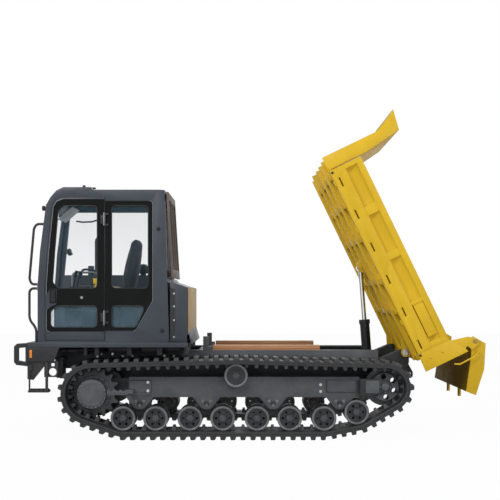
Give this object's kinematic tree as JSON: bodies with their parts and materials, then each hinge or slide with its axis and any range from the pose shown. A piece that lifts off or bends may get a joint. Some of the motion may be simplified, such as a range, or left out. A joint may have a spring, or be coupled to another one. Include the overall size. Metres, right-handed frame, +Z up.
{
  "type": "tracked dump carrier",
  "caption": "Rubber-tracked dump carrier with a side cab, a rear-tipping bed shown raised, a hanging tailgate and a central hoist cylinder.",
  "frame": {"origin": "centre of the bounding box at the ground under the belts", "axes": "+X to the rear, +Y to the machine's right-hand side, +Z up"},
  "size_m": [4.7806, 2.2, 3.3505],
  "materials": {
    "frame_paint": "dark grey paint, satin",
    "black_paint": "black paint, satin",
    "cab_paint": "slate grey paint, semi-gloss",
    "bed_paint": "yellow paint, semi-gloss",
    "guard_paint": "brown grey paint, matt",
    "track_rubber": "matt black rubber",
    "core_steel": "dark forged steel",
    "cast_wheel": "painted cast iron",
    "cast_block": "bare cast iron",
    "rest_wood": "oiled hardwood",
    "cab_glass": "clear tinted glass",
    "black_plastic": "matt black plastic",
    "lamp_amber": "amber lens",
    "seat_cover": "black seat cover",
    "zinc_steel": "zinc plated rod",
    "rod_chrome": "hard chrome"
  },
  "bodies": {
    "chassis": {"main_frame": "frame_paint", "track_frame_left": "frame_paint", "track_frame_right": "frame_paint", "bogie_arms": "black_paint", "drive_motors": "frame_paint", "idler_yokes": "black_paint", "track_belt_left": "track_rubber", "track_belt_right": "track_rubber", "guide_horns": "core_steel", "hinge_frame": "black_paint", "bed_sills": "rest_wood", "platform": "cab_paint", "front_guard": "black_paint", "front_steps": "black_paint", "cab_frame": "cab_paint", "cab_windows": "cab_glass", "rear_guard": "guard_paint", "hand_rails": "black_paint", "lamps": "lamp_amber", "seat_base": "black_plastic", "console": "black_plastic", "engine_hood": "cab_paint", "engine": "cast_block", "tank_housing": "cab_paint", "air_cleaner": "black_plastic"},
    "sprocket_left": {"sprocket_left": "cast_wheel"},
    "idler_left": {"idler_left": "cast_wheel"},
    "carrier_roller_left": {"carrier_roller_left": "cast_wheel"},
    "roller_left_1": {"roller_left_1": "cast_wheel"},
    "roller_left_2": {"roller_left_2": "cast_wheel"},
    "roller_left_3": {"roller_left_3": "cast_wheel"},
    "roller_left_4": {"roller_left_4": "cast_wheel"},
    "roller_left_5": {"roller_left_5": "cast_wheel"},
    "roller_left_6": {"roller_left_6": "cast_wheel"},
    "roller_left_7": {"roller_left_7": "cast_wheel"},
    "roller_left_8": {"roller_left_8": "cast_wheel"},
    "sprocket_right": {"sprocket_right": "cast_wheel"},
    "idler_right": {"idler_right": "cast_wheel"},
    "carrier_roller_right": {"carrier_roller_right": "cast_wheel"},
    "roller_right_1": {"roller_right_1": "cast_wheel"},
    "roller_right_2": {"roller_right_2": "cast_wheel"},
    "roller_right_3": {"roller_right_3": "cast_wheel"},
    "roller_right_4": {"roller_right_4": "cast_wheel"},
    "roller_right_5": {"roller_right_5": "cast_wheel"},
    "roller_right_6": {"roller_right_6": "cast_wheel"},
    "roller_right_7": {"roller_right_7": "cast_wheel"},
    "roller_right_8": {"roller_right_8": "cast_wheel"},
    "dump_bed": {"dump_bed": "bed_paint"},
    "tailgate": {"tailgate": "bed_paint"},
    "gate_latch": {"gate_latch": "bed_paint"},
    "hoist_rod": {"hoist_rod": "rod_chrome"},
    "hoist_barrel": {"hoist_barrel": "black_paint"},
    "door": {"door_frame": "cab_paint", "door_glass": "cab_glass"},
    "door_handle": {"door_handle": "black_plastic"},
    "access_door": {"access_door": "cab_paint"},
    "seat": {"seat_cushion": "seat_cover"},
    "seat_back": {"seat_back": "seat_cover"},
    "travel_lever_left": {"travel_lever_left": "black_plastic"},
    "travel_lever_right": {"travel_lever_right": "black_plastic"}
  },
  "joints": [
    {"name": "sprocket_left_spin", "type": "hinge", "parent": "chassis", "child": "sprocket_left", "pos_m": [-1.6, -0.85, 0.46], "axis": [0, 1, 0], "continuous": true},
    {"name": "idler_left_spin", "type": "hinge", "parent": "chassis", "child": "idler_left", "pos_m": [1.359, -0.85, 0.523], "axis": [0, 1, 0], "continuous": true},
    {"name": "carrier_roller_left_spin", "type": "hinge", "parent": "chassis", "child": "carrier_roller_left", "pos_m": [-0.151, -0.85, 0.64], "axis": [0, 1, 0], "continuous": true},
    {"name": "roller_left_1_spin", "type": "hinge", "parent": "chassis", "child": "roller_left_1", "pos_m": [-1.295, -0.85, 0.2069], "axis": [0, 1, 0], "continuous": true},
    {"name": "roller_left_2_spin", "type": "hinge", "parent": "chassis", "child": "roller_left_2", "pos_m": [-0.965, -0.85, 0.2069], "axis": [0, 1, 0], "continuous": true},
    {"name": "roller_left_3_spin", "type": "hinge", "parent": "chassis", "child": "roller_left_3", "pos_m": [-0.617, -0.85, 0.2069], "axis": [0, 1, 0], "continuous": true},
    {"name": "roller_left_4_spin", "type": "hinge", "parent": "chassis", "child": "roller_left_4", "pos_m": [-0.287, -0.85, 0.2069], "axis": [0, 1, 0], "continuous": true},
    {"name": "roller_left_5_spin", "type": "hinge", "parent": "chassis", "child": "roller_left_5", "pos_m": [0.061, -0.85, 0.2069], "axis": [0, 1, 0], "continuous": true},
    {"name": "roller_left_6_spin", "type": "hinge", "parent": "chassis", "child": "roller_left_6", "pos_m": [0.391, -0.85, 0.2069], "axis": [0, 1, 0], "continuous": true},
    {"name": "roller_left_7_spin", "type": "hinge", "parent": "chassis", "child": "roller_left_7", "pos_m": [0.739, -0.85, 0.2069], "axis": [0, 1, 0], "continuous": true},
    {"name": "roller_left_8_spin", "type": "hinge", "parent": "chassis", "child": "roller_left_8", "pos_m": [1.069, -0.85, 0.2699], "axis": [0, 1, 0], "continuous": true},
    {"name": "sprocket_right_spin", "type": "hinge", "parent": "chassis", "child": "sprocket_right", "pos_m": [-1.6, 0.85, 0.46], "axis": [0, 1, 0], "continuous": true},
    {"name": "idler_right_spin", "type": "hinge", "parent": "chassis", "child": "idler_right", "pos_m": [1.359, 0.85, 0.523], "axis": [0, 1, 0], "continuous": true},
    {"name": "carrier_roller_right_spin", "type": "hinge", "parent": "chassis", "child": "carrier_roller_right", "pos_m": [-0.151, 0.85, 0.64], "axis": [0, 1, 0], "continuous": true},
    {"name": "roller_right_1_spin", "type": "hinge", "parent": "chassis", "child": "roller_right_1", "pos_m": [-1.295, 0.85, 0.2069], "axis": [0, 1, 0], "continuous": true},
    {"name": "roller_right_2_spin", "type": "hinge", "parent": "chassis", "child": "roller_right_2", "pos_m": [-0.965, 0.85, 0.2069], "axis": [0, 1, 0], "continuous": true},
    {"name": "roller_right_3_spin", "type": "hinge", "parent": "chassis", "child": "roller_right_3", "pos_m": [-0.617, 0.85, 0.2069], "axis": [0, 1, 0], "continuous": true},
    {"name": "roller_right_4_spin", "type": "hinge", "parent": "chassis", "child": "roller_right_4", "pos_m": [-0.287, 0.85, 0.2069], "axis": [0, 1, 0], "continuous": true},
    {"name": "roller_right_5_spin", "type": "hinge", "parent": "chassis", "child": "roller_right_5", "pos_m": [0.061, 0.85, 0.2069], "axis": [0, 1, 0], "continuous": true},
    {"name": "roller_right_6_spin", "type": "hinge", "parent": "chassis", "child": "roller_right_6", "pos_m": [0.391, 0.85, 0.2069], "axis": [0, 1, 0], "continuous": true},
    {"name": "roller_right_7_spin", "type": "hinge", "parent": "chassis", "child": "roller_right_7", "pos_m": [0.739, 0.85, 0.2069], "axis": [0, 1, 0], "continuous": true},
    {"name": "roller_right_8_spin", "type": "hinge", "parent": "chassis", "child": "roller_right_8", "pos_m": [1.069, 0.85, 0.2699], "axis": [0, 1, 0], "continuous": true},
    {"name": "bed_tilt", "type": "hinge", "parent": "chassis", "child": "dump_bed", "pos_m": [1.622, 0, 0.857], "axis": [0, 1, 0], "range_deg": [-64.2, 0]},
    {"name": "tailgate_swing", "type": "hinge", "parent": "dump_bed", "child": "tailgate", "pos_m": [2.27763, 0, 0.98734], "axis": [0, 1, 0], "range_deg": [-30, 59.5]},
    {"name": "gate_latch_turn", "type": "hinge", "parent": "tailgate", "child": "gate_latch", "pos_m": [2.30163, 0, 0.88034], "axis": [0, 1, 0], "range_deg": [-20, 20]},
    {"name": "hoist_rod_pivot", "type": "hinge", "parent": "dump_bed", "child": "hoist_rod", "pos_m": [1.20733, 0, 1.75615], "axis": [0, 1, 0], "range_deg": [-3, 3]},
    {"name": "hoist_slide", "type": "slide", "parent": "hoist_rod", "child": "hoist_barrel", "axis": [-0.0765, 0, 0.9971], "range_m": [-0.002, 0.44285]},
    {"name": "door_swing", "type": "hinge", "parent": "chassis", "child": "door", "pos_m": [-1.481, -0.968, 1.7], "axis": [0, 0, 1], "range_deg": [0, 160]},
    {"name": "door_handle_turn", "type": "hinge", "parent": "door", "child": "door_handle", "pos_m": [-1.991, -0.946, 1.445], "axis": [0, 0, 1], "range_deg": [0, 25], "stiffness_Nm_per_rad": 1},
    {"name": "access_door_swing", "type": "hinge", "parent": "chassis", "child": "access_door", "pos_m": [-1.014, 0.994, 1.3], "axis": [0, 0, -1], "range_deg": [0, 100]},
    {"name": "seat_slide", "type": "slide", "parent": "chassis", "child": "seat", "axis": [1, 0, 0], "range_m": [-0.04, 0.1]},
    {"name": "seat_recline", "type": "hinge", "parent": "seat", "child": "seat_back", "pos_m": [-1.314, -0.425, 1.475], "axis": [0, 1, 0], "range_deg": [-10, 12]},
    {"name": "travel_left_tilt", "type": "hinge", "parent": "chassis", "child": "travel_lever_left", "pos_m": [-1.874, -0.545, 1.521], "axis": [0, 1, 0], "range_deg": [-18, 18], "stiffness_Nm_per_rad": 6},
    {"name": "travel_right_tilt", "type": "hinge", "parent": "chassis", "child": "travel_lever_right", "pos_m": [-1.874, -0.305, 1.521], "axis": [0, 1, 0], "range_deg": [-18, 18], "stiffness_Nm_per_rad": 6}
  ],
  "couplings": [
    {"joint": "idler_left_spin", "follows": "sprocket_left_spin", "ratio": 1.335},
    {"joint": "carrier_roller_left_spin", "follows": "sprocket_left_spin", "ratio": 2.1917},
    {"joint": "roller_left_1_spin", "follows": "sprocket_left_spin", "ratio": 2.0873},
    {"joint": "roller_left_2_spin", "follows": "sprocket_left_spin", "ratio": 2.0873},
    {"joint": "roller_left_3_spin", "follows": "sprocket_left_spin", "ratio": 2.0873},
    {"joint": "roller_left_4_spin", "follows": "sprocket_left_spin", "ratio": 2.0873},
    {"joint": "roller_left_5_spin", "follows": "sprocket_left_spin", "ratio": 2.0873},
    {"joint": "roller_left_6_spin", "follows": "sprocket_left_spin", "ratio": 2.0873},
    {"joint": "roller_left_7_spin", "follows": "sprocket_left_spin", "ratio": 2.0873},
    {"joint": "roller_left_8_spin", "follows": "sprocket_left_spin", "ratio": 2.0873},
    {"joint": "idler_right_spin", "follows": "sprocket_right_spin", "ratio": 1.335},
    {"joint": "carrier_roller_right_spin", "follows": "sprocket_right_spin", "ratio": 2.1917},
    {"joint": "roller_right_1_spin", "follows": "sprocket_right_spin", "ratio": 2.0873},
    {"joint": "roller_right_2_spin", "follows": "sprocket_right_spin", "ratio": 2.0873},
    {"joint": "roller_right_3_spin", "follows": "sprocket_right_spin", "ratio": 2.0873},
    {"joint": "roller_right_4_spin", "follows": "sprocket_right_spin", "ratio": 2.0873},
    {"joint": "roller_right_5_spin", "follows": "sprocket_right_spin", "ratio": 2.0873},
    {"joint": "roller_right_6_spin", "follows": "sprocket_right_spin", "ratio": 2.0873},
    {"joint": "roller_right_7_spin", "follows": "sprocket_right_spin", "ratio": 2.0873},
    {"joint": "roller_right_8_spin", "follows": "sprocket_right_spin", "ratio": 2.0873},
    {"joint": "hoist_rod_pivot", "follows": "bed_tilt", "ratio": -0.01687},
    {"joint": "hoist_slide", "follows": "bed_tilt", "m_per_rad": -0.39344}
  ]
}
